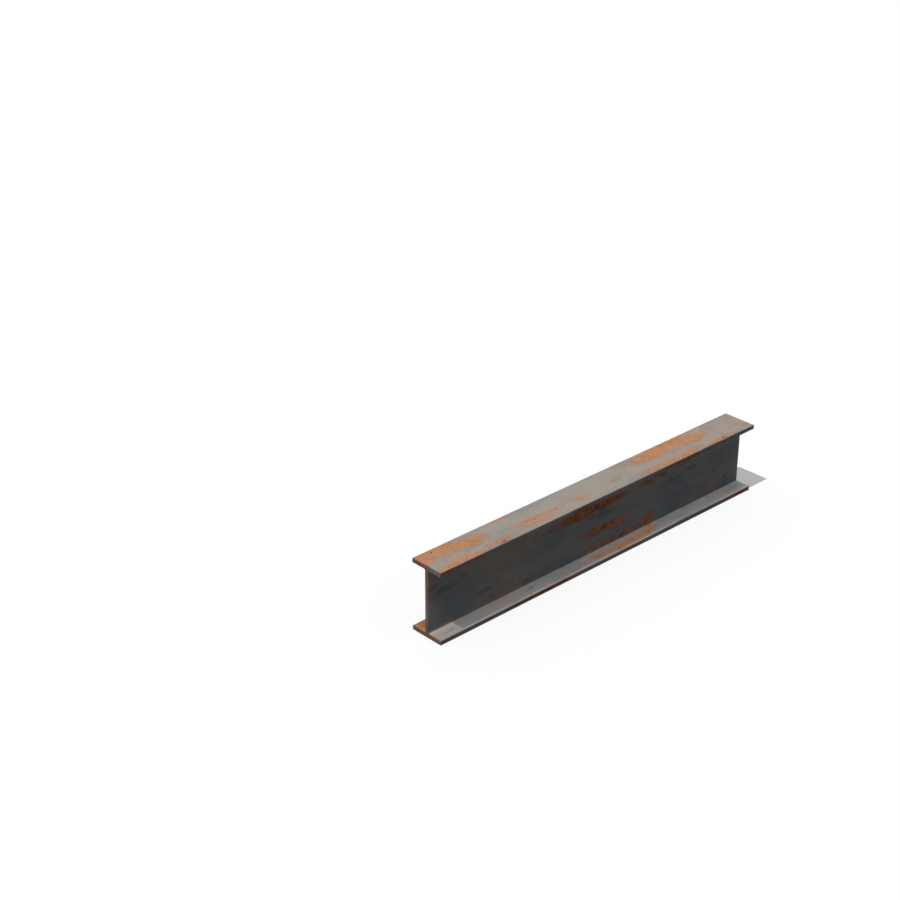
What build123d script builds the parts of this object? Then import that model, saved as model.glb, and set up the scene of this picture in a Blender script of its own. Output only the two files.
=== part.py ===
import os

from build123d import *

# Hot-rolled steel beam of I section with parallel flanges, sawn square at both ends.
# Millimetres. X runs along the beam, Y across the flanges and Z up.
# The origin is under the middle of the bottom flange, on the face that the beam rests on.

# Driving dimensions
length = 1735.0  # between the two sawn ends
depth = 300.0  # over both flanges
flange_width = 150.0
flange_thickness = 18.0
web_thickness = 14.5
root_radius = 6.0  # rolled fillet where the web runs into each flange
toe_radius = 1.5  # rounding that the rolls leave on the flange edges


def from_middle(corner):
    """How far a corner of the section lies from the middle of the web."""
    return abs(corner.X)


def rolled_section():
    """The I section, standing on its bottom flange: a rectangle with a channel rolled into each side."""
    channel_height = depth - 2 * flange_thickness
    channel_depth = (flange_width - web_thickness) / 2
    channel_middle = (web_thickness + channel_depth) / 2
    with BuildSketch(Plane.YZ) as section:
        Rectangle(flange_width, depth, align=(Align.CENTER, Align.MIN))
        with Locations((-channel_middle, depth / 2), (channel_middle, depth / 2)):
            Rectangle(channel_depth, channel_height, mode=Mode.SUBTRACT)
        fillet(section.vertices().group_by(from_middle)[0], root_radius)
        fillet(section.vertices().group_by(from_middle)[-1], toe_radius)
    return section.sketch


def i_beam():
    """The section run out to both sawn ends, half of the length each way."""
    beam = extrude(rolled_section(), amount=length / 2, both=True)
    beam.label = "i_beam"
    return beam


os.makedirs("parts", exist_ok=True)
export_step(i_beam(), "parts/i_beam.step")
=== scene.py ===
import math
import random

import bpy
import numpy as np
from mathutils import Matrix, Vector
from mathutils.geometry import delaunay_2d_cdt


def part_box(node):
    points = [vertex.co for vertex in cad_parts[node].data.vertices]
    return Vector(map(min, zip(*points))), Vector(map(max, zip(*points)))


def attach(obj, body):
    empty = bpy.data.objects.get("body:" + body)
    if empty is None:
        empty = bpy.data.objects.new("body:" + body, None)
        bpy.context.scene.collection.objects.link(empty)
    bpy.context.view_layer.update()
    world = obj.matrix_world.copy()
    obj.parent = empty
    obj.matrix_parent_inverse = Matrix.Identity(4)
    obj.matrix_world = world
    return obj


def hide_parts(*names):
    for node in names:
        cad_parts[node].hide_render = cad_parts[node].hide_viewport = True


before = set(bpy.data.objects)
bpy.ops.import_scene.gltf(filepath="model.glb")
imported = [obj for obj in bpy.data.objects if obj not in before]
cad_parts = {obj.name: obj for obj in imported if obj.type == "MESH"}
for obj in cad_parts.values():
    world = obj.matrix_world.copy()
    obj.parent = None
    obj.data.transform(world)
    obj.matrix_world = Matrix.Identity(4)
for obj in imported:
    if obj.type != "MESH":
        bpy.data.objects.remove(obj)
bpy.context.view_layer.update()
scene = bpy.context.scene
scene.view_settings.view_transform = "Standard"

low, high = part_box("i_beam")
length = high.x - low.x
width = high.y - low.y
depth = high.z - low.z
print(f"frame: beam of {length:.3f} x {width:.3f} x {depth:.3f} m")


# helpers for node trees: a source is a socket or a plain value

def plug(tree, source, socket):
    if isinstance(source, bpy.types.NodeSocket):
        tree.links.new(source, socket)
    else:
        socket.default_value = source


def addNode(tree, kind, inputs=None, **settings):
    node = tree.nodes.new(kind)
    for name, value in settings.items():
        setattr(node, name, value)
    for key, source in (inputs or {}).items():
        plug(tree, source, node.inputs[key])
    return node


def firstOut(tree, kind, inputs=None, **settings):
    return addNode(tree, kind, inputs, **settings).outputs[0]


def calc(tree, operation, a, b=0.0):
    return firstOut(tree, "ShaderNodeMath", {0: a, 1: b}, operation=operation)


def total(tree, *sources):
    added = sources[0]
    for source in sources[1:]:
        added = calc(tree, "ADD", added, source)
    return added


def ease(tree, value, start, end, toStart=0.0, toEnd=1.0):
    inputs = {"Value": value, "From Min": start, "From Max": end, "To Min": toStart, "To Max": toEnd}
    return firstOut(tree, "ShaderNodeMapRange", inputs, interpolation_type="SMOOTHSTEP")


def setInputs(modifier, values):
    for item in modifier.node_group.interface.items_tree:
        if item.in_out == "INPUT" and item.name in values:
            modifier[item.identifier] = values[item.name]


def newTree(name, floats, integers=()):
    tree = bpy.data.node_groups.new(name, "GeometryNodeTree")
    tree.interface.new_socket(name="Geometry", in_out="INPUT", socket_type="NodeSocketGeometry")
    for label in floats:
        tree.interface.new_socket(name=label, in_out="INPUT", socket_type="NodeSocketFloat")
    for label in integers:
        tree.interface.new_socket(name=label, in_out="INPUT", socket_type="NodeSocketInt")
    tree.interface.new_socket(name="Geometry", in_out="OUTPUT", socket_type="NodeSocketGeometry")
    return tree, addNode(tree, "NodeGroupInput").outputs


def endTree(tree, shape, material):
    shape = firstOut(tree, "GeometryNodeRealizeInstances", {0: shape})
    shape = firstOut(tree, "GeometryNodeSetMaterial", {"Geometry": shape, "Material": material})
    addNode(tree, "NodeGroupOutput", {"Geometry": shape})


def evaluatedMesh(piece, meshName):
    evaluated = piece.evaluated_get(bpy.context.evaluated_depsgraph_get())
    mesh = bpy.data.meshes.new_from_object(evaluated)
    mesh.name = meshName
    piece.modifiers.clear()
    return mesh


# the rolled section, swept from one sawn end to the other

beam = {
    "flangeThickness": 0.018,
    "webThickness": 0.0145,
    "rootRadius": 0.006,
    "toeRadius": 0.0015,
    "spacing": 0.0055,  # between mesh points, along the beam and round the section
    "rootSteps": 5,
    "toeSteps": 3,
}


def sectionCorners():
    # one quarter, then the other three as mirror images, walking round the section
    toe = width / 2
    web = beam["webThickness"] / 2
    flangeInside = depth / 2 - beam["flangeThickness"]
    quarter = [(toe, depth / 2), (toe, flangeInside), (web, flangeInside)]
    half = quarter + [(across, -up) for across, up in reversed(quarter)]
    whole = half + [(-across, up) for across, up in reversed(half)]
    return [(across, up + depth / 2, 0.0) for across, up in whole]


def roundCorners(tree, given, position):
    # the corners beside the web get the root radius, the others the toe radius
    across = addNode(tree, "ShaderNodeSeparateXYZ", {0: position}).outputs["X"]
    beside = calc(tree, "LESS_THAN", calc(tree, "ABSOLUTE", across), given["Web Thickness"])
    radii = {0: beside, 1: given["Toe Radius"], 2: given["Root Radius"]}
    counts = {0: beside, 1: given["Toe Steps"], 2: given["Root Steps"]}
    radius = firstOut(tree, "GeometryNodeSwitch", radii, input_type="FLOAT")
    steps = firstOut(tree, "GeometryNodeSwitch", counts, input_type="INT")
    outline = firstOut(tree, "GeometryNodeMeshToCurve", {0: given["Geometry"]})
    rounding = {"Curve": outline, "Count": steps, "Radius": radius}
    return firstOut(tree, "GeometryNodeFilletCurve", rounding, mode="POLY")


def divideRuns(tree, given, position, rounded):
    # the straight runs are divided evenly, and each point notes how far round the section it lies
    nextPoint = addNode(tree, "GeometryNodeOffsetPointInCurve", {"Offset": 1}).outputs["Point Index"]
    lookup = {"Index": nextPoint, "Value": position}
    nextPlace = firstOut(tree, "GeometryNodeFieldAtIndex", lookup, data_type="FLOAT_VECTOR")
    run = addNode(tree, "ShaderNodeVectorMath", {0: nextPlace, 1: position}, operation="DISTANCE")
    cuts = calc(tree, "FLOOR", calc(tree, "DIVIDE", run.outputs["Value"], given["Spacing"]))
    divided = firstOut(tree, "GeometryNodeSubdivideCurve", {"Curve": rounded, "Cuts": cuts})
    girth = addNode(tree, "GeometryNodeSplineParameter").outputs["Length"]
    noted = {"Geometry": divided, "Name": "girth", "Value": girth}
    return firstOut(tree, "GeometryNodeStoreNamedAttribute", noted, data_type="FLOAT", domain="POINT")


def sweepAlong(tree, given, position, profile):
    # swept straight up, then laid down along X and turned right side out
    half = calc(tree, "DIVIDE", given["Length"], 2.0)
    start = firstOut(tree, "ShaderNodeCombineXYZ", {"Z": calc(tree, "MULTIPLY", half, -1.0)})
    end = firstOut(tree, "ShaderNodeCombineXYZ", {"Z": half})
    rail = firstOut(tree, "GeometryNodeCurvePrimitiveLine", {"Start": start, "End": end})
    spaces = calc(tree, "ROUND", calc(tree, "DIVIDE", given["Length"], given["Spacing"]))
    rings = calc(tree, "ADD", spaces, 1.0)
    rail = firstOut(tree, "GeometryNodeResampleCurve", {"Curve": rail, "Count": rings})
    swept = firstOut(tree, "GeometryNodeCurveToMesh", {"Curve": rail, "Profile Curve": profile})
    place = addNode(tree, "ShaderNodeSeparateXYZ", {0: position}).outputs
    laid = firstOut(tree, "ShaderNodeCombineXYZ", {"X": place["Z"], "Y": place["X"], "Z": place["Y"]})
    swept = firstOut(tree, "GeometryNodeSetPosition", {"Geometry": swept, "Position": laid})
    return firstOut(tree, "GeometryNodeFlipFaces", {"Mesh": swept})


def sweepTree(material):
    floats = ("Length", "Root Radius", "Toe Radius", "Web Thickness", "Spacing")
    tree, given = newTree("sweepSection", floats, ("Root Steps", "Toe Steps"))
    position = firstOut(tree, "GeometryNodeInputPosition")
    rounded = roundCorners(tree, given, position)
    profile = divideRuns(tree, given, position, rounded)
    endTree(tree, sweepAlong(tree, given, position, profile), material)
    return tree


steel = bpy.data.materials.new("weatheredSteel")
corners = sectionCorners()
outlineMesh = bpy.data.meshes.new("sectionOutline")
outlineMesh.from_pydata(corners, [(i, (i + 1) % len(corners)) for i in range(len(corners))], [])
rolledBeam = bpy.data.objects.new("rolled_beam", outlineMesh)
scene.collection.objects.link(rolledBeam)
sweep = rolledBeam.modifiers.new("sweep", "NODES")
sweep.node_group = sweepTree(steel)
setInputs(sweep, {
    "Length": length,
    "Root Radius": beam["rootRadius"],
    "Toe Radius": beam["toeRadius"],
    "Web Thickness": beam["webThickness"],
    "Spacing": beam["spacing"],
    "Root Steps": beam["rootSteps"],
    "Toe Steps": beam["toeSteps"],
})
rolledBeam.data = evaluatedMesh(rolledBeam, "rolledBeam")
print(f"swept: {len(rolledBeam.data.vertices)} points, {len(rolledBeam.data.polygons)} faces")


# where rust lies: along the beam, across it or up the web, half length, half width, strength

rust = {
    "topFlange": [
        (-0.850, 0.018, 0.045, 0.022, 1.3),
        (-0.800, 0.044, 0.110, 0.038, 1.05),
        (-0.770, 0.022, 0.055, 0.013, 1.0),
        (-0.735, 0.067, 0.055, 0.012, 1.0),
        (-0.650, 0.019, 0.075, 0.026, 1.05),
        (-0.585, 0.036, 0.045, 0.008, 0.6),
        (-0.822, -0.058, 0.050, 0.014, 1.0),
        (-0.755, -0.054, 0.060, 0.016, 1.0),
        (-0.655, -0.061, 0.060, 0.008, 0.66),
        (-0.560, -0.057, 0.055, 0.014, 1.0),
        (-0.430, -0.019, 0.050, 0.008, 0.85),
        (-0.335, -0.015, 0.110, 0.012, 1.10),
        (-0.260, -0.020, 0.050, 0.013, 1.0),
        (-0.325, -0.046, 0.075, 0.013, 0.72),
        (-0.098, -0.025, 0.042, 0.009, 0.80),
        (-0.455, 0.068, 0.035, 0.008, 0.9),
        (0.095, -0.014, 0.040, 0.009, 0.85),
        (0.200, 0.040, 0.050, 0.010, 0.7),
        (0.305, 0.030, 0.075, 0.022, 1.15),
        (0.390, 0.037, 0.115, 0.037, 1.0),
        (0.350, 0.015, 0.030, 0.012, 1.0),
        (0.500, 0.066, 0.080, 0.018, 1.0),
        (0.500, 0.050, 0.050, 0.014, 1.0),
        (0.570, 0.015, 0.090, 0.026, 1.0),
        (0.545, 0.042, 0.080, 0.013, 1.15),
        (0.665, 0.036, 0.040, 0.008, 0.75),
        (0.275, -0.056, 0.060, 0.014, 1.2),
        (0.360, -0.058, 0.080, 0.012, 1.0),
        (0.480, -0.053, 0.070, 0.016, 1.0),
        (0.575, -0.064, 0.060, 0.008, 0.70),
        (0.678, -0.061, 0.052, 0.011, 0.95),
        (0.818, -0.019, 0.065, 0.010, 1.00),
        (0.850, -0.043, 0.025, 0.012, 0.52),
        (0.765, 0.068, 0.050, 0.007, 0.7),
    ],
    "webFront": [
        (-0.850, 0.207, 0.030, 0.015, 0.9),
        (-0.690, 0.190, 0.045, 0.008, 0.62),
        (-0.565, 0.056, 0.055, 0.007, 0.65),
        (-0.480, 0.064, 0.060, 0.009, 0.60),
        (-0.305, 0.084, 0.030, 0.007, 0.75),
        (-0.270, 0.199, 0.055, 0.009, 0.68),
        (-0.175, 0.205, 0.050, 0.008, 0.58),
        (-0.093, 0.206, 0.104, 0.019, 1.3),
        (-0.010, 0.214, 0.070, 0.014, 1.0),
        (-0.040, 0.100, 0.045, 0.010, 0.52),
        (-0.020, 0.030, 0.040, 0.010, 0.9),
        (0.075, 0.208, 0.090, 0.012, 1.05),
        (0.055, 0.107, 0.083, 0.018, 1.0),
        (0.134, 0.092, 0.042, 0.012, 1.0),
        (0.070, 0.028, 0.110, 0.009, 1.0),
        (0.200, 0.028, 0.090, 0.009, 1.0),
        (0.298, 0.218, 0.036, 0.012, 0.94),
        (0.330, 0.206, 0.030, 0.009, 0.82),
        (0.312, 0.050, 0.038, 0.022, 0.84),
        (0.366, 0.228, 0.034, 0.012, 1.05),
        (0.390, 0.215, 0.022, 0.010, 0.95),
        (0.560, 0.189, 0.035, 0.010, 0.70),
        (0.680, 0.057, 0.050, 0.008, 0.60),
        (0.755, 0.062, 0.050, 0.009, 0.65),
    ],
    "bottomFlange": [
        (-0.840, 0.040, 0.060, 0.032, 1.0),
        (-0.530, -0.016, 0.080, 0.009, 0.80),
        (-0.100, -0.052, 0.090, 0.007, 0.46),
        (-0.008, -0.041, 0.040, 0.014, 0.95),
        (0.065, -0.050, 0.070, 0.016, 0.95),
        (0.105, -0.061, 0.060, 0.011, 1.0),
        (0.165, -0.048, 0.085, 0.019, 1.0),
        (0.255, -0.046, 0.050, 0.016, 1.00),
        (0.305, -0.022, 0.035, 0.020, 1.20),
        (0.705, -0.021, 0.060, 0.009, 0.72),
    ],
    "topToe": [
        (-0.800, 0.294, 0.070, 0.008, 0.60),
        (-0.690, 0.294, 0.050, 0.007, 0.60),
        (-0.150, 0.289, 0.060, 0.008, 0.50),
        (0.375, 0.290, 0.080, 0.013, 0.72),
        (0.500, 0.294, 0.080, 0.008, 0.42),
    ],
    "bottomToe": [
        (-0.400, 0.008, 0.085, 0.010, 1.00),
        (-0.295, 0.008, 0.070, 0.010, 1.00),
        (0.140, 0.008, 0.100, 0.008, 0.55),
        (0.800, 0.008, 0.075, 0.010, 1.0),
    ],
}

# dark pits in the rust, in the same order
pits = {
    "topFlange": [
        (-0.777, -0.063, 0.012, 0.006, 0.7),
        (-0.543, -0.064, 0.016, 0.007, 0.9),
        (-0.620, -0.067, 0.008, 0.004, 0.7),
        (-0.793, 0.057, 0.009, 0.006, 0.9),
        (-0.730, 0.061, 0.009, 0.006, 0.7),
        (-0.620, 0.011, 0.008, 0.005, 0.9),
        (-0.652, -0.005, 0.008, 0.005, 0.8),
        (-0.343, -0.018, 0.011, 0.005, 0.88),
        (-0.232, -0.019, 0.010, 0.005, 0.85),
        (-0.185, -0.025, 0.010, 0.005, 0.6),
        (0.090, -0.014, 0.014, 0.004, 0.7),
        (0.215, 0.041, 0.008, 0.005, 0.6),
        (0.320, 0.055, 0.010, 0.005, 0.7),
        (0.356, 0.015, 0.008, 0.006, 1.0),
        (0.450, 0.056, 0.009, 0.006, 0.7),
        (0.509, 0.058, 0.009, 0.006, 1.0),
        (0.588, -0.005, 0.009, 0.005, 0.9),
        (0.618, 0.009, 0.008, 0.005, 0.7),
        (0.692, -0.064, 0.016, 0.007, 1.0),
        (0.615, -0.066, 0.008, 0.004, 0.6),
    ],
    "webFront": [
        (-0.442, 0.072, 0.014, 0.006, 0.9),
        (-0.107, 0.200, 0.009, 0.008, 1.0),
        (0.012, 0.209, 0.014, 0.007, 1.0),
        (0.152, 0.211, 0.012, 0.007, 0.6),
        (0.050, 0.103, 0.012, 0.008, 1.0),
        (0.182, 0.098, 0.010, 0.006, 0.8),
        (0.185, 0.031, 0.009, 0.007, 0.9),
        (0.265, 0.031, 0.012, 0.007, 0.9),
        (0.400, 0.212, 0.010, 0.008, 1.0),
        (0.790, 0.069, 0.014, 0.008, 1.2),
    ],
    "bottomFlange": [
        (-0.012, -0.044, 0.010, 0.006, 0.8),
        (0.095, -0.055, 0.008, 0.006, 0.9),
        (0.185, -0.041, 0.008, 0.006, 0.9),
        (0.278, -0.048, 0.009, 0.006, 0.7),
        (-0.845, 0.040, 0.012, 0.006, 0.8),
    ],
    "bottomToe": [
        (-0.350, 0.011, 0.125, 0.006, 0.66),
    ],
}
# bluer scale where the strength is above zero, warmer where it is below
tints = {
    "webFront": [
        (-0.720, 0.100, 0.110, 0.060, 0.8),
        (-0.240, 0.110, 0.110, 0.070, 0.9),
        (0.140, 0.062, 0.090, 0.025, 0.8),
        (0.490, 0.095, 0.120, 0.070, 1.3),
        (-0.480, 0.150, 0.120, 0.090, -1.0),
        (-0.835, 0.090, 0.035, 0.045, -0.9),
        (0.270, 0.140, 0.080, 0.060, -0.7),
        (0.760, 0.130, 0.110, 0.100, 0.2),
    ],
    "topFlange": [
        (-0.130, 0.040, 0.090, 0.040, -0.8),
        (0.300, -0.020, 0.080, 0.020, -0.6),
        (-0.700, -0.025, 0.070, 0.015, 0.8),
        (-0.520, 0.000, 0.070, 0.030, 0.6),
        (0.560, -0.030, 0.060, 0.020, 0.8),
        (0.730, 0.020, 0.080, 0.030, 0.6),
    ],
    "topToe": [
        (-0.320, 0.290, 0.120, 0.020, -1.6),
    ],
}
# dark smudges on the scale
smudges = {
    "webFront": [
        (-0.780, 0.174, 0.060, 0.011, 1.4),
        (-0.590, 0.083, 0.045, 0.008, 0.8),
        (-0.370, 0.043, 0.022, 0.008, 1.0),
        (0.055, 0.170, 0.070, 0.017, 1.15),
        (0.455, 0.174, 0.060, 0.011, 1.4),
        (0.490, 0.216, 0.050, 0.007, 0.7),
        (0.650, 0.078, 0.055, 0.009, 0.8),
        (0.460, 0.030, 0.040, 0.007, 0.8),
        # these two wide, faint rows darken the far part of the web as a whole
        (0.500, 0.110, 0.130, 0.090, 0.50),
        (0.770, 0.150, 0.110, 0.110, 0.64),
    ],
    "bottomFlange": [
        (-0.800, -0.046, 0.050, 0.008, 0.70),
        (-0.370, -0.027, 0.035, 0.012, 0.7),
        (0.460, -0.047, 0.055, 0.009, 0.7),
    ],
    # the long rows on the toes darken whole stretches of them
    "topToe": [
        (0.680, 0.291, 0.160, 0.020, 0.85),
    ],
    "bottomToe": [
        (-0.340, 0.009, 0.130, 0.012, 0.80),
        (0.520, 0.009, 0.200, 0.020, 1.00),
    ],
}
# rust on the sides that the camera doesn't see, drawn at random in streaks like the others
hidden = {
    "seed": 11,
    # how many patches, and from where to where across the face or up the web
    "faces": {
        "webBack": (24, 0.03, 0.27),
        "topUnder": (16, -0.05, 0.05),
        "bottomBack": (9, 0.02, 0.055),
        "underside": (16, -0.05, 0.05),
    },
    "halfLength": (0.03, 0.12),
    "slimness": (0.08, 0.20),  # width over length
    "widest": 0.016,
    "strength": (0.75, 1.0),
}


def hiddenPatches():
    draw = random.Random(hidden["seed"])
    made = {}
    for face, (count, first, last) in hidden["faces"].items():
        made[face] = []
        for _ in range(count):
            along = draw.uniform(-0.5, 0.5) * length
            halfLength = draw.uniform(*hidden["halfLength"])
            halfWidth = min(halfLength * draw.uniform(*hidden["slimness"]), hidden["widest"])
            across = draw.uniform(first, last)
            strength = draw.uniform(*hidden["strength"])
            made[face].append((along, across, halfLength, halfWidth, strength))
    return made


def onFace(face, across):
    # the point of the section that lies there, as across and up
    web = beam["webThickness"] / 2
    flange = beam["flangeThickness"]
    return {
        "topFlange": (across, depth),
        "topUnder": (across, depth - flange),
        "webFront": (-web, across),
        "webBack": (web, across),
        "bottomFlange": (across, flange),
        "bottomBack": (across, flange),
        "underside": (across, 0.0),
        "topToe": (-width / 2, across),
        "bottomToe": (-width / 2, across),
    }[face]


def readFloats(mesh, name):
    values = np.empty(len(mesh.vertices), np.float32)
    mesh.attributes[name].data.foreach_get("value", values)
    return values


def writeFloats(mesh, name, values):
    layer = mesh.attributes.get(name) or mesh.attributes.new(name, "FLOAT", "POINT")
    layer.data.foreach_set("value", values.astype(np.float32))


def readPoints(mesh):
    points = np.empty(len(mesh.vertices) * 3, np.float32)
    mesh.vertices.foreach_get("co", points)
    return points.reshape(-1, 3)


def endRing(points, girth, endX):
    # the points at one end, in order round the section
    ring = np.flatnonzero(np.abs(points[:, 0] - endX) < beam["spacing"] / 2)
    return ring[np.argsort(girth[ring])]


def fade(distance):
    # 1 in the middle of something, a half on its edge, which is at distance 1
    return 0.5 ** distance ** 2


def patchWeights(points, girth, girthTotal, patchesByFace, join=np.maximum):
    # distances are measured along the beam and round the section
    ring = endRing(points, girth, low.x)
    weights = np.zeros(len(points))
    for face, patches in patchesByFace.items():
        for along, across, halfLength, halfWidth, strength in patches:
            fromPlace = np.linalg.norm(points[ring, 1:] - onFace(face, across), axis=1)
            away = np.abs(girth - girth[ring[np.argmin(fromPlace)]])
            away = np.minimum(away, girthTotal - away)
            distance = np.hypot((points[:, 0] - along) / halfLength, away / halfWidth)
            weights = join(weights, strength * fade(distance))
    return weights


mesh = rolledBeam.data
points = readPoints(mesh)
girth = readFloats(mesh, "girth")
ring = endRing(points, girth, low.x)
girthTotal = girth.max() + np.linalg.norm(points[ring[0]] - points[ring[-1]])
rustByFace = {**rust, **hiddenPatches()}
writeFloats(mesh, "rust", patchWeights(points, girth, girthTotal, rustByFace))
writeFloats(mesh, "pit", patchWeights(points, girth, girthTotal, pits))
writeFloats(mesh, "smudge", patchWeights(points, girth, girthTotal, smudges))
writeFloats(mesh, "tint", patchWeights(points, girth, girthTotal, tints, np.add))
print(f"rust: {sum(len(rows) for rows in rustByFace.values())} patches")


# shallow relief, always into the steel: rolled waviness, eaten rust and pits

relief = {
    "waveDepth": 0.00025,
    "rustDepth": 0.0007,
    "pitDepth": 0.0012,
    "seed": 4.0,
    # noises: features per metre along, across and up, then detail
    "waves": ((4, 9, 9), 1.0),
    "eating": ((60, 80, 80), 3.0),
    "eatenRange": (0.35, 0.65),  # of its noise, from whole to fully eaten
}


def reliefTree(material):
    tree, given = newTree("surfaceRelief", ("Wave Depth", "Rust Depth", "Pit Depth", "Seed"))
    position = firstOut(tree, "GeometryNodeInputPosition")
    normal = firstOut(tree, "GeometryNodeInputNormal")

    def stored(name):
        return firstOut(tree, "GeometryNodeInputNamedAttribute", {"Name": name}, data_type="FLOAT")

    def bumps(perMetre, detail):
        stretched = firstOut(tree, "ShaderNodeVectorMath", {0: position, 1: perMetre}, operation="MULTIPLY")
        inputs = {"Vector": stretched, "W": given["Seed"], "Scale": 1.0, "Detail": detail}
        return firstOut(tree, "ShaderNodeTexNoise", inputs, noise_dimensions="4D")

    wave = calc(tree, "MULTIPLY", bumps(*relief["waves"]), given["Wave Depth"])
    eaten = ease(tree, bumps(*relief["eating"]), *relief["eatenRange"])
    eaten = calc(tree, "MULTIPLY", eaten, given["Rust Depth"])
    eaten = calc(tree, "MULTIPLY", eaten, stored("rust"))
    pitted = calc(tree, "MULTIPLY", stored("pit"), given["Pit Depth"])
    inwards = calc(tree, "MULTIPLY", total(tree, wave, eaten, pitted), -1.0)
    offset = firstOut(tree, "ShaderNodeVectorMath", {0: normal, "Scale": inwards}, operation="SCALE")
    shape = firstOut(tree, "GeometryNodeSetPosition", {"Geometry": given["Geometry"], "Offset": offset})
    endTree(tree, shape, material)
    return tree


worn = rolledBeam.modifiers.new("relief", "NODES")
worn.node_group = reliefTree(steel)
setInputs(worn, {
    "Wave Depth": relief["waveDepth"],
    "Rust Depth": relief["rustDepth"],
    "Pit Depth": relief["pitDepth"],
    "Seed": relief["seed"],
})
rolledBeam.data = evaluatedMesh(rolledBeam, "rolledBeam")
print("relief: done")


# sawn ends: each open ring is filled with small triangles, which carry rust and shallow saw waves

sawnEnds = {
    "grid": 0.003,
    "edgeGap": 0.0015,
    "weld": 1e-6,  # points as close as this are one
    "waveDepth": 0.0002,
    "wavesPerMetre": 45.0,
    "waveSlant": 0.3,
    "sharpAngle": 40.0,  # degrees between faces, from which an edge is sharp
    # rust: across, up, half width, half height, strength
    "nearEnd": [
        (0.045, 0.291, 0.022, 0.012, 1.3),
        (0.000, 0.265, 0.011, 0.040, 0.60),
        (0.004, 0.190, 0.006, 0.055, 0.75),
        (0.000, 0.040, 0.008, 0.022, 0.55),
        (0.038, 0.008, 0.026, 0.010, 1.0),
        (-0.034, 0.008, 0.024, 0.010, 1.0),
    ],
    "farEnd": [
        (-0.020, 0.291, 0.024, 0.010, 1.0),
        (0.058, 0.292, 0.014, 0.009, 0.8),
        (0.000, 0.120, 0.009, 0.050, 0.9),
        (-0.050, 0.008, 0.022, 0.010, 1.0),
        (0.022, 0.009, 0.026, 0.010, 0.9),
    ],
}


def insideSection(across, up):
    gap = sawnEnds["edgeGap"]
    fromEdge = min(up, depth - up)
    inFlange = gap < fromEdge < beam["flangeThickness"] - gap and abs(across) < width / 2 - gap
    inWeb = gap < fromEdge and abs(across) < beam["webThickness"] / 2 - gap
    return inFlange or inWeb


def fillEnd(outline):
    # the points of a grid inside the outline, and triangles over both, facing along X
    grid = sawnEnds["grid"]
    columns = np.arange(-width / 2 + grid / 2, width / 2, grid)
    rows = np.arange(grid / 2, depth, grid)
    inner = [(across, up) for up in rows for across in columns if insideSection(across, up)]
    corners = [Vector(point) for point in list(map(tuple, outline.tolist())) + inner]
    edges = [(i, (i + 1) % len(outline)) for i in range(len(outline))]
    insideOnly = 1
    _, _, faces, sources, _, _ = delaunay_2d_cdt(corners, edges, [], insideOnly, sawnEnds["weld"])
    return np.array(inner), [[sources[i][0] for i in face] for face in faces]


def sawWaves(inner):
    # from 0 to 1, in slanting rows
    slanted = inner[:, 0] + sawnEnds["waveSlant"] * inner[:, 1]
    return 0.5 + 0.5 * np.sin(2 * math.pi * sawnEnds["wavesPerMetre"] * slanted)


def endWeights(places, patches):
    weights = np.zeros(len(places))
    for across, up, halfWidth, halfHeight, strength in patches:
        distance = np.hypot((places[:, 0] - across) / halfWidth, (places[:, 1] - up) / halfHeight)
        weights = np.maximum(weights, strength * fade(distance))
    return weights


def closeEnds(sides):
    # one closed mesh: the sides' points and faces first, then the two ends
    points = readPoints(sides)
    girth = readFloats(sides, "girth")
    layers = {name: readFloats(sides, name) for name in ("rust", "pit", "smudge", "tint")}
    quads = np.empty(len(sides.polygons) * 4, np.int32)
    sides.polygons.foreach_get("vertices", quads)
    faces = quads.reshape(-1, 4).tolist()
    sideCount = len(faces)
    endFaces = {}
    for end, endX, inwards in (("nearEnd", low.x, 1), ("farEnd", high.x, -1)):
        ring = endRing(points[:len(girth)], girth, endX)
        inner, triangles = fillEnd(points[ring, 1:])
        along = endX + inwards * sawnEnds["waveDepth"] * sawWaves(inner)
        numbers = np.concatenate([ring, len(points) + np.arange(len(inner))])
        points = np.concatenate([points, np.column_stack([along, inner])])
        layers["rust"] = np.concatenate([layers["rust"], endWeights(inner, sawnEnds[end])])
        for name in ("pit", "smudge", "tint"):
            layers[name] = np.concatenate([layers[name], np.zeros(len(inner))])
        turned = [numbers[triangle[::-inwards]].tolist() for triangle in triangles]
        endFaces[end] = (len(faces), len(faces) + len(turned))
        faces += turned
    closed = bpy.data.meshes.new("closedBeam")
    closed.from_pydata(points.tolist(), [], faces)
    for name, values in layers.items():
        writeFloats(closed, name, values)
    isEnd = np.arange(len(faces)) >= sideCount
    closed.polygons.foreach_set("material_index", isEnd.astype(np.int32))
    closed.polygons.foreach_set("use_smooth", np.ones(len(faces), bool))
    closed.set_sharp_from_angle(angle=math.radians(sawnEnds["sharpAngle"]))
    return closed, girth, endFaces


# the unrolled section lies on the map's left, the two ends on its right: u from and to, v from and to
bakeMap = {
    "sides": (0.004, 0.900, 0.004, 0.996),
    "nearEnd": (0.912, 0.996, 0.02, 0.29),
    "farEnd": (0.912, 0.996, 0.35, 0.62),
}


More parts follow.
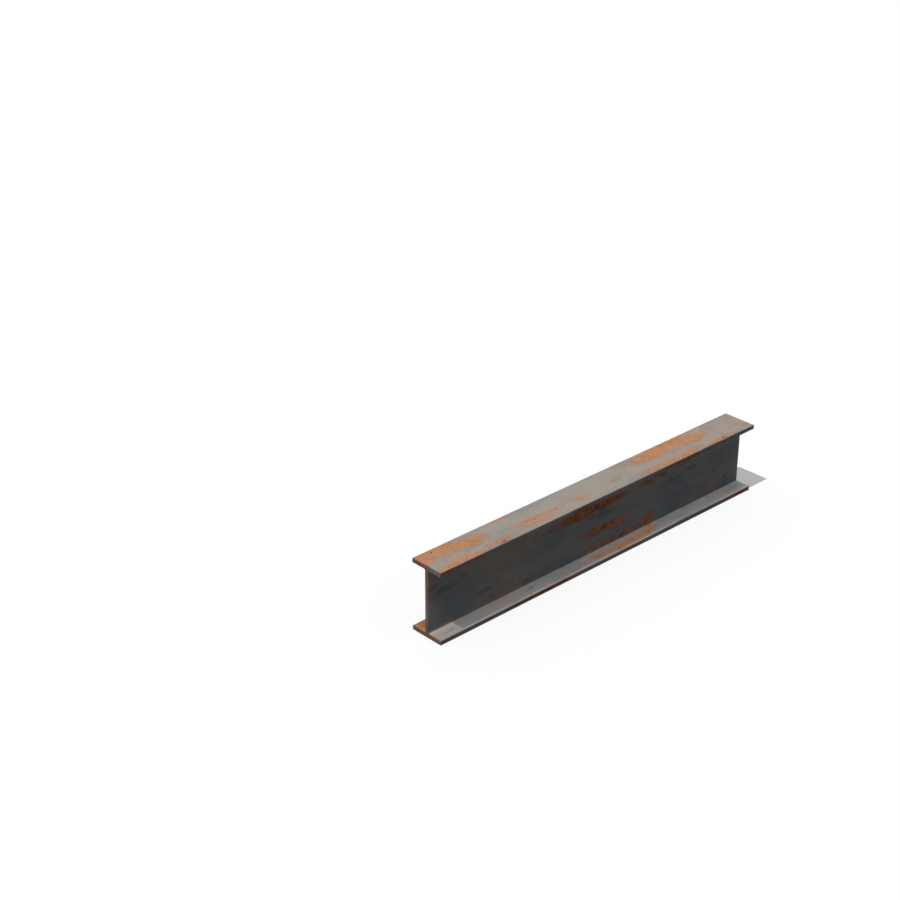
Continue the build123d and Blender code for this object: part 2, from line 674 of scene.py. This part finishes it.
def unroll(closed, girth, endFaces):
    def onto(area, u, v):
        fromU, toU, fromV, toV = bakeMap[area]
        return np.column_stack([fromU + (toU - fromU) * u, fromV + (toV - fromV) * v])

    points = readPoints(closed)
    corner = np.empty(len(closed.loops), np.int32)
    closed.loops.foreach_get("vertex_index", corner)
    starts = np.empty(len(closed.polygons), np.int32)
    closed.polygons.foreach_get("loop_start", starts)
    starts = np.append(starts, len(closed.loops))
    sideCorners = corner[:starts[endFaces["nearEnd"][0]]]
    around = girth[sideCorners].reshape(-1, 4) / girthTotal

    # a face that seems to reach more than half way round lies across the seam
    acrossSeam = np.ptp(around, axis=1) > 0.5
    around[acrossSeam] += around[acrossSeam] < 0.5
    uv = np.empty((len(closed.loops), 2))
    uv[:len(sideCorners)] = onto("sides", (points[sideCorners, 0] - low.x) / length, around.ravel())
    for end, (first, last) in endFaces.items():
        part = slice(starts[first], starts[last])
        place = points[corner[part]]
        uv[part] = onto(end, (place[:, 1] - low.y) / width, (place[:, 2] - low.z) / depth)
    layer = closed.uv_layers.new(name="OFBake")
    layer.uv.foreach_set("vector", uv.ravel().astype(np.float32))


# dust lies on what faces up, with painted sheen on the top faces and painted fill light in the shade under
# the top flange; silt beside the web, partly painted fill light against the shade in the root; painted
# shade on the toes; and the arrises rust first
settling = {
    "dustSlope": (0.65, 0.95),  # how level a face is where dust begins to lie, and where it lies fully
    "dustRubbed": 0.3,  # share of the dust that is rubbed off at the toes
    "rubbedReach": 0.010,  # how far in from the toes
    "siltAndFillReach": 0.018,  # how far from the web, on the bottom flange
    "arrisReach": 0.004,
}


def markSettling(closed):
    facing = np.empty(len(closed.vertices) * 3, np.float32)
    closed.vertex_normals.foreach_get("vector", facing)
    acrossFacing, upFacing = facing.reshape(-1, 3)[:, 1:].T
    along, across, up = readPoints(closed).T
    fromToe = width / 2 - np.abs(across)
    fromEnd = length / 2 - np.abs(along)
    fromWeb = np.abs(across) - beam["webThickness"] / 2
    fromFace = np.minimum(up, depth - up)
    fromFace = np.minimum(fromFace, np.abs(fromFace - beam["flangeThickness"]))
    fromArris = np.minimum(np.hypot(fromToe, fromFace), fromEnd)
    rubbed = settling["dustRubbed"] * fade(fromToe / settling["rubbedReach"])
    lies = np.interp(upFacing, settling["dustSlope"], (0, 1))
    # dust on faces that face up, which also carries painted sheen on the top faces and painted fill light
    # in the shade on the bottom flange
    writeFloats(closed, "dustAndPaintedLight", lies * (1 - rubbed))
    # silt beside the web, partly painted fill light: it lightens the bottom flange towards the web, against
    # the shade in the root
    writeFloats(closed, "siltAndPaintedFill", fade(fromWeb / settling["siltAndFillReach"]) * (up < depth / 2))
    # the toe faces, which the material darkens with painted shade
    writeFloats(closed, "toe", np.sqrt(np.abs(acrossFacing)) * (fromToe < beam["toeRadius"]))
    writeFloats(closed, "arris", fade(fromArris / settling["arrisReach"]))


closedMesh, girth, endFaces = closeEnds(rolledBeam.data)
unroll(closedMesh, girth, endFaces)
markSettling(closedMesh)
rolledBeam.data = closedMesh
sawn = bpy.data.materials.new("sawnSteel")
closedMesh.materials.append(steel)
closedMesh.materials.append(sawn)
endCount = sum(last - first for first, last in endFaces.values())
print(f"ends: {endCount} triangles, {len(closedMesh.polygons)} faces in all")


# weathered steel: mill scale under dust, which carries painted sheen on the top faces and painted fill
# light under the top flange, with rust where the patches lie

weathered = {
    # noises: features per metre along, across and up, then detail, roughness and a shift of their own
    "noises": {
        "tone": ((6, 12, 12), 3.0, 0.55, 0.0),
        "mottle": ((40, 60, 60), 4.0, 0.60, 3.0),
        "streaks": ((5, 34, 34), 4.0, 0.60, 7.0),
        "ragged": ((28, 75, 75), 5.0, 0.68, 11.0),
        "grain": ((220, 260, 260), 3.0, 0.60, 17.0),
        "specks": ((95, 150, 150), 2.0, 0.50, 29.0),
        "lines": ((2.5, 130.0, 130.0), 2.0, 0.50, 23.0),  # left by the rolls, along the beam
    },
    # colours, each at its own value of the noises
    "scaleShades": [
        (0.30, (0.124, 0.142, 0.164)),
        (0.46, (0.156, 0.161, 0.167)),
        (0.62, (0.206, 0.184, 0.168)),
    ],
    # dust on the open top faces, with painted sheen
    "openDustAndSheenShades": [
        (0.35, (0.266, 0.256, 0.244)),
        (0.65, (0.306, 0.275, 0.250)),
    ],
    "rustShades": [
        (0.30, (0.190, 0.064, 0.028)),
        (0.47, (0.370, 0.138, 0.058)),
        (0.72, (0.460, 0.210, 0.095)),
    ],
    # dust in the shade under the top flange, painted lighter and cooler as fill light in that shade
    "shelteredDustAndPaintedFill": (0.345, 0.327, 0.315),
    # silt beside the web, lighter than the dust, partly painted fill light against the shade in the root
    "siltAndPaintedFill": (0.468, 0.446, 0.430),
    "smudge": (0.075, 0.078, 0.078),
    # rust under dust, paler, with painted sheen on the top faces
    "rustDustAndSheen": (0.515, 0.275, 0.153),
    # rust under silt beside the web, paler, partly painted fill light against the shade in the root
    "rustSiltAndPaintedFill": (0.800, 0.440, 0.280),
    "pit": (0.065, 0.038, 0.027),
    # painted shade on the toes
    "paintedToeShade": (0.0, 0.0, 0.0),
    # how strongly noises sway the shade or the edge of each
    "scaleSway": {"mottle": 0.45, "lines": 0.30, "grain": 0.20},
    "dustSway": {"mottle": 0.9, "specks": 0.5},
    "smudgeSway": {"streaks": 1.6, "ragged": 1.2},
    "tatterSway": {"streaks": 1.7, "ragged": 1.1},
    "freckleSway": {"tone": 0.5},
    "rustSway": {"mottle": 0.8, "ragged": 0.4, "grain": 0.4},
    "rustDustSway": {"tone": 0.5, "mottle": 0.6},
    "pitSway": {"ragged": 1.3, "specks": 0.9},
    "glossSway": {"mottle": 0.25},
    # where each begins and where it is full, then its shares there if they aren't none and all
    "dustEdge": (0.30, 0.60, 0.76, 1.0),
    "smudgeEdge": (0.20, 0.90, 0.0, 0.75),
    "tatterEdge": (0.0, 0.35, 0.5, 1.0),
    "rustEdge": (0.12, 0.98),
    "stainEdge": (0.08, 0.56, 0.0, 0.35),
    "freckleEdge": (0.66, 0.76, 0.0, 0.35),
    "speckEdge": (0.62, 0.74, 0.0, 0.38),
    "pitEdge": (0.36, 0.95, 0.0, 0.8),
    # below this height the dust is painted as fill light in the shade under the top flange, above it as
    # sheen on the open top
    "openHeight": (0.1, 0.2),  # dust is sheltered below this and open to the rain above
    "tintShift": -0.16,
    "arrisRust": 0.24,
    "rustShade": 0.5,  # before the noises sway it
    "thinRust": 0.22,  # how much deeper the colour is where rust is thin
    "dustOnRust": 0.60,
    # how much painted shade darkens the toes
    "toePaintedShade": 0.53,
    "specular": 0.13,
    "scaleRoughness": 0.52,
    "rustRoughness": 0.90,
    # heights for the bump, in metres
    "rustLumps": 0.0005,
    "scaleGrain": 0.00006,
    "linesHeight": 0.00005,
}
sawnFinish = {
    **weathered,
    "noises": {
        **weathered["noises"],
        "lines": ((1.0, 260.0, 8.0), 2.0, 0.50, 23.0),  # left by the saw, up the end
    },
    "scaleShades": [
        (0.30, (0.186, 0.196, 0.220)),
        (0.46, (0.221, 0.224, 0.240)),
        (0.62, (0.260, 0.253, 0.258)),
    ],
    "rustShades": [
        (0.30, (0.190, 0.064, 0.028)),
        (0.47, (0.415, 0.171, 0.083)),
        (0.72, (0.460, 0.210, 0.095)),
    ],
    "linesHeight": 0.00012,
}


def clouds(tree, place, perMetre, detail, roughness, shift):
    moved = {0: place, 1: perMetre, 2: (shift, shift, shift)}
    stretched = firstOut(tree, "ShaderNodeVectorMath", moved, operation="MULTIPLY_ADD")
    inputs = {"Vector": stretched, "Scale": 1.0, "Detail": detail, "Roughness": roughness}
    return firstOut(tree, "ShaderNodeTexNoise", inputs)


def sway(tree, noises, amounts):
    # the named noises, which lift or lower a value by up to about half their amounts
    parts = []
    for name, amount in amounts.items():
        parts.append(calc(tree, "MULTIPLY", calc(tree, "SUBTRACT", noises[name], 0.5), amount))
    return total(tree, *parts)


def attribute(tree, name):
    return addNode(tree, "ShaderNodeAttribute", attribute_name=name).outputs["Fac"]


def blend(tree, share, first, second):
    node = addNode(tree, "ShaderNodeMix", {0: share}, data_type="RGBA")
    for source, socket in ((first, node.inputs[6]), (second, node.inputs[7])):
        plug(tree, (*source, 1.0) if isinstance(source, tuple) else source, socket)
    return node.outputs[2]


def shades(tree, value, stops):
    # a colour from a value, eased from each stop to the next
    colour = stops[0][1]
    for (start, _), (end, nextColour) in zip(stops, stops[1:]):
        colour = blend(tree, ease(tree, value, start, end), colour, nextColour)
    return colour


def dustWithPaintedLightColour(tree, finish, noises, place):
    # painted lighter and cooler under the top flange as fill light in its shade, lighter still beside the
    # web with silt and painted fill light, and patchy in the open, where it carries painted sheen
    shelteredWithPaintedFill = blend(tree, attribute(tree, "siltAndPaintedFill"), finish["shelteredDustAndPaintedFill"], finish["siltAndPaintedFill"])
    drift = total(tree, noises["tone"], sway(tree, noises, finish["dustSway"]))
    openWithPaintedSheen = shades(tree, drift, finish["openDustAndSheenShades"])
    height = addNode(tree, "ShaderNodeSeparateXYZ", {0: place}).outputs["Z"]
    return blend(tree, ease(tree, height, *finish["openHeight"]), shelteredWithPaintedFill, openWithPaintedSheen)


def scaleColour(tree, finish, noises, place):
    # mill scale, blue in places, lighter and warmer where dust with its painted sheen or painted fill light
    # lies, dark in the smudges
    tint = calc(tree, "MULTIPLY", attribute(tree, "tint"), finish["tintShift"])
    value = total(tree, noises["tone"], sway(tree, noises, finish["scaleSway"]), tint)
    bare = shades(tree, value, finish["scaleShades"])
    dustAndLightShare = calc(tree, "MULTIPLY", attribute(tree, "dustAndPaintedLight"), ease(tree, value, *finish["dustEdge"]))
    dustyWithPaintedLight = blend(tree, dustAndLightShare, bare, dustWithPaintedLightColour(tree, finish, noises, place))
    smudged = total(tree, attribute(tree, "smudge"), sway(tree, noises, finish["smudgeSway"]))
    return blend(tree, ease(tree, smudged, *finish["smudgeEdge"]), dustyWithPaintedLight, finish["smudge"])


def rustSpread(tree, finish, noises):
    # the patches with tattered edges, and a little along the arrises
    patch = attribute(tree, "rust")
    arris = calc(tree, "MULTIPLY", attribute(tree, "arris"), finish["arrisRust"])
    tatters = sway(tree, noises, finish["tatterSway"])
    tatters = calc(tree, "MULTIPLY", tatters, ease(tree, patch, *finish["tatterEdge"]))
    return total(tree, patch, arris, tatters)


def rustColour(tree, finish, noises, solid):
    # deep where rust is thin, pale where dust with painted sheen lies on it, paler beside the web where
    # silt and painted fill light lie on it
    thin = calc(tree, "MULTIPLY", calc(tree, "SUBTRACT", solid, 1.0), finish["thinRust"])
    value = total(tree, finish["rustShade"], sway(tree, noises, finish["rustSway"]), thin)
    bloom = shades(tree, value, finish["rustShades"])
    dustAndSheenShare = total(tree, finish["dustOnRust"], sway(tree, noises, finish["rustDustSway"]))
    dustAndSheenShare = calc(tree, "MULTIPLY", attribute(tree, "dustAndPaintedLight"), dustAndSheenShare)
    paleWithPaintedLight = blend(tree, attribute(tree, "siltAndPaintedFill"), finish["rustDustAndSheen"], finish["rustSiltAndPaintedFill"])
    return blend(tree, dustAndSheenShare, bloom, paleWithPaintedLight)


def pitShare(tree, finish, noises, solid):
    # the marked pits, and dark specks wherever rust is solid
    pitted = total(tree, attribute(tree, "pit"), sway(tree, noises, finish["pitSway"]))
    speckled = calc(tree, "MULTIPLY", solid, ease(tree, noises["specks"], *finish["speckEdge"]))
    return calc(tree, "MAXIMUM", ease(tree, pitted, *finish["pitEdge"]), speckled)


def roughSurface(tree, finish, noises, solid):
    # lumps of rust, the grain of the scale, and lines from the work
    lumps = calc(tree, "MULTIPLY", noises["ragged"], solid)
    lumps = calc(tree, "MULTIPLY", lumps, finish["rustLumps"])
    fine = calc(tree, "MULTIPLY", noises["grain"], finish["scaleGrain"])
    worked = calc(tree, "MULTIPLY", noises["lines"], finish["linesHeight"])
    raised = total(tree, lumps, fine, worked)
    return firstOut(tree, "ShaderNodeBump", {"Height": raised, "Strength": 1.0, "Distance": 1.0})


def weatheredSteel(material, finish):
    material.use_nodes = True
    tree = material.node_tree
    shader = tree.nodes["Principled BSDF"]
    place = addNode(tree, "ShaderNodeTexCoord").outputs["Object"]
    noises = {name: clouds(tree, place, *settings) for name, settings in finish["noises"].items()}

    # solid rust, with a stain round it and freckles between
    spread = rustSpread(tree, finish, noises)
    solid = ease(tree, spread, *finish["rustEdge"])
    stain = ease(tree, spread, *finish["stainEdge"])
    freckles = total(tree, noises["ragged"], sway(tree, noises, finish["freckleSway"]))
    freckles = ease(tree, freckles, *finish["freckleEdge"])
    rusted = calc(tree, "MAXIMUM", calc(tree, "MAXIMUM", solid, stain), freckles)

    scale = scaleColour(tree, finish, noises, place)
    colour = blend(tree, rusted, scale, rustColour(tree, finish, noises, solid))
    colour = blend(tree, pitShare(tree, finish, noises, solid), colour, finish["pit"])
    # painted shade darkens the toe faces
    toeShadeShare = calc(tree, "MULTIPLY", attribute(tree, "toe"), finish["toePaintedShade"])
    plug(tree, blend(tree, toeShadeShare, colour, finish["paintedToeShade"]), shader.inputs["Base Color"])

    # rust is dull, scale has a little sheen
    gloss = total(tree, finish["scaleRoughness"], sway(tree, noises, finish["glossSway"]))
    plug(tree, ease(tree, solid, 0.0, 1.0, gloss, finish["rustRoughness"]), shader.inputs["Roughness"])
    shader.inputs["Specular IOR Level"].default_value = finish["specular"]
    plug(tree, roughSurface(tree, finish, noises, solid), shader.inputs["Normal"])


weatheredSteel(steel, weathered)
weatheredSteel(sawn, sawnFinish)
print("materials: weathered and sawn steel")

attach(rolledBeam, "root")
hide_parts("i_beam")


# light: the beam and the floor have suns of their own, so that the floor's shadow is as deep as the photo's

sunTravels = (0.447, 0.037, -1.0)
white = (1.0, 1.0, 1.0)
light = {
    "skyShare": 0.06,  # what the sky gives, as a share of the white that the camera sees of it
    # what each sun lights, the way its light travels, degrees across, colour, light on a level face
    "suns": {
        "beamSun": ("beam", sunTravels, 0.7, (1.06, 0.93, 0.72), 0.365),
        "floorSun": ("floor", sunTravels, 0.7, white, 0.55),
        "beamSoft": ("beam", (0.054, 0.25, -1.0), 26.0, (0.98, 1.00, 1.03), 0.52),
        "floorDome": ("floor", (0.0, 0.0, -1.0), 150.0, white, 0.10),
        "beamBack": ("beam", (-0.40, -0.75, -0.42), 40.0, white, 0.08),
    },
}
floor = {
    "halfSize": 30.0,
    "below": 0.0005,
    "shownColour": 1.00,  # what the camera sees of it, lit and glowing
    "shownGlow": 0.295,
    "bounceColour": 0.30,  # what it throws back on the beam
}


def addSun(name, receiver, travels, degrees, colour, levelLight):
    lamp = bpy.data.lights.new(name, "SUN")
    direction = Vector(travels).normalized()
    lamp.energy = levelLight * math.pi / -direction.z
    lamp.angle = math.radians(degrees)
    lamp.color = colour
    sun = bpy.data.objects.new(name, lamp)
    sun.rotation_mode = "QUATERNION"
    sun.rotation_quaternion = direction.to_track_quat("-Z", "Y")
    scene.collection.objects.link(sun)
    litAlone = bpy.data.collections.new(name + "Lights")
    litAlone.objects.link(receiver)
    sun.light_linking.receiver_collection = litAlone


def shownRays(tree):
    # 1 for rays that end up in the picture as a plain view of the thing
    path = addNode(tree, "ShaderNodeLightPath").outputs
    seen = calc(tree, "MAXIMUM", path["Is Camera Ray"], path["Is Glossy Ray"])
    return calc(tree, "MAXIMUM", seen, path["Is Transmission Ray"])


def grey(value):
    return (value, value, value, 1.0)


def whiteWorld():
    world = bpy.data.worlds.new("whiteWorld")
    world.use_nodes = True
    tree = world.node_tree
    strength = ease(tree, shownRays(tree), 0.0, 1.0, light["skyShare"], 1.0)
    sky = tree.nodes["Background"]
    sky.inputs["Color"].default_value = grey(1.0)
    plug(tree, strength, sky.inputs["Strength"])
    scene.world = world


def floorWhite():
    material = bpy.data.materials.new("floorWhite")
    material.use_nodes = True
    tree = material.node_tree
    tree.nodes.remove(tree.nodes["Principled BSDF"])
    bounce = firstOut(tree, "ShaderNodeBsdfDiffuse", {"Color": grey(floor["bounceColour"])})
    lit = firstOut(tree, "ShaderNodeBsdfDiffuse", {"Color": grey(floor["shownColour"])})
    glow = firstOut(tree, "ShaderNodeEmission", {"Color": grey(1.0), "Strength": floor["shownGlow"]})
    shown = firstOut(tree, "ShaderNodeAddShader", {0: lit, 1: glow})
    surface = firstOut(tree, "ShaderNodeMixShader", {0: shownRays(tree), 1: bounce, 2: shown})
    plug(tree, surface, tree.nodes["Material Output"].inputs["Surface"])
    return material


def whiteFloor():
    half = floor["halfSize"]
    level = low.z - floor["below"]
    corners = [(-half, -half, level), (half, -half, level), (half, half, level), (-half, half, level)]
    mesh = bpy.data.meshes.new("whiteFloor")
    mesh.from_pydata(corners, [], [(0, 1, 2, 3)])
    mesh.materials.append(floorWhite())
    plane = bpy.data.objects.new("white_floor", mesh)
    scene.collection.objects.link(plane)
    return plane


whiteWorld()
receivers = {"beam": rolledBeam, "floor": whiteFloor()}
for name, (receiver, *settings) in light["suns"].items():
    addSun(name, receivers[receiver], *settings)
print(f"light: {len(light['suns'])} suns, sky and floor")


# the photo's camera

camera = {
    "azimuth": -42.80,  # degrees
    "elevation": 27.00,
    "place": (-4.5968, -4.1505, 3.6009),
    "lens": 73.28,  # millimetres
    "sensor": 36.0,
}


def photoCamera():
    around = math.radians(camera["azimuth"])
    up = math.radians(camera["elevation"])
    forward = Vector((-math.sin(around) * math.cos(up), math.cos(around) * math.cos(up), -math.sin(up)))
    data = bpy.data.cameras.new("photoCamera")
    data.lens = camera["lens"]
    data.sensor_width = camera["sensor"]
    viewer = bpy.data.objects.new("photoCamera", data)
    viewer.location = camera["place"]
    viewer.rotation_mode = "QUATERNION"
    viewer.rotation_quaternion = forward.to_track_quat("-Z", "Y")
    scene.collection.objects.link(viewer)
    scene.camera = viewer


photoCamera()
